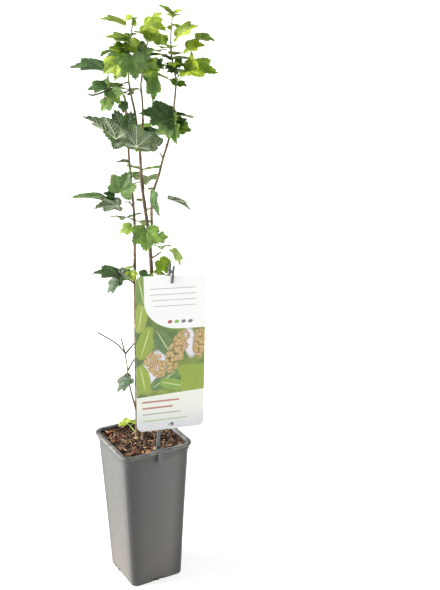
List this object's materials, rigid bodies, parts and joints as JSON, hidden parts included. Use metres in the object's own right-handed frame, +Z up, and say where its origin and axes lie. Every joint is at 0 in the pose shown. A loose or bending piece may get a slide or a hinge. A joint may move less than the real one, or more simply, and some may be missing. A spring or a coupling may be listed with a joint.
{
  "type": "potted currant bush",
  "caption": "Young white currant bush with slender stems and lobed leaves, in a tall square nursery pot, with a plain picture card on a plastic holder.",
  "frame": {"origin": "centre of the pot's flat underside, where it stands", "axes": "+Z up along the pot and the stems; X and Y square to the pot's four walls; the card faces between -Y and -X, turned 29.5 degrees clockwise from -Y seen from above"},
  "size_m": [0.1843, 0.1571, 0.8978],
  "materials": {
    "pot_plastic": "grey moulded plastic, satin",
    "soil": "moist composted bark and fibre",
    "bark": "thin grey-brown bark",
    "leaf": "mature green leaves",
    "young_leaf": "fresh yellow-green leaves",
    "card_face": "thin printed plastic sheet",
    "holder_plastic": "grey moulded plastic, satin"
  },
  "bodies": {
    "root": {"pot": "pot_plastic", "soil": "soil", "stem_main": "bark", "stem_left": "bark", "bough_right": "bark", "bough_crown_left": "bark", "bough_crown_middle": "bark", "bough_low": "bark", "foliage_top_right": "young_leaf", "foliage_right_middle": "leaf", "foliage_right_low": "leaf", "foliage_crown_left": "young_leaf", "foliage_crown_middle": "young_leaf", "foliage_left_side": "leaf", "foliage_big_pair": "leaf", "foliage_back_upper": "leaf", "foliage_middle_left": "leaf", "foliage_middle_right": "leaf", "foliage_back_middle": "leaf", "foliage_front": "leaf", "foliage_back_lower": "leaf", "foliage_low_right": "leaf", "foliage_low_left": "leaf", "foliage_above_card": "leaf", "foliage_low_shoot": "leaf", "foliage_foot": "leaf", "label_card": "card_face", "label_holder": "holder_plastic"}
  },
  "joints": []
}
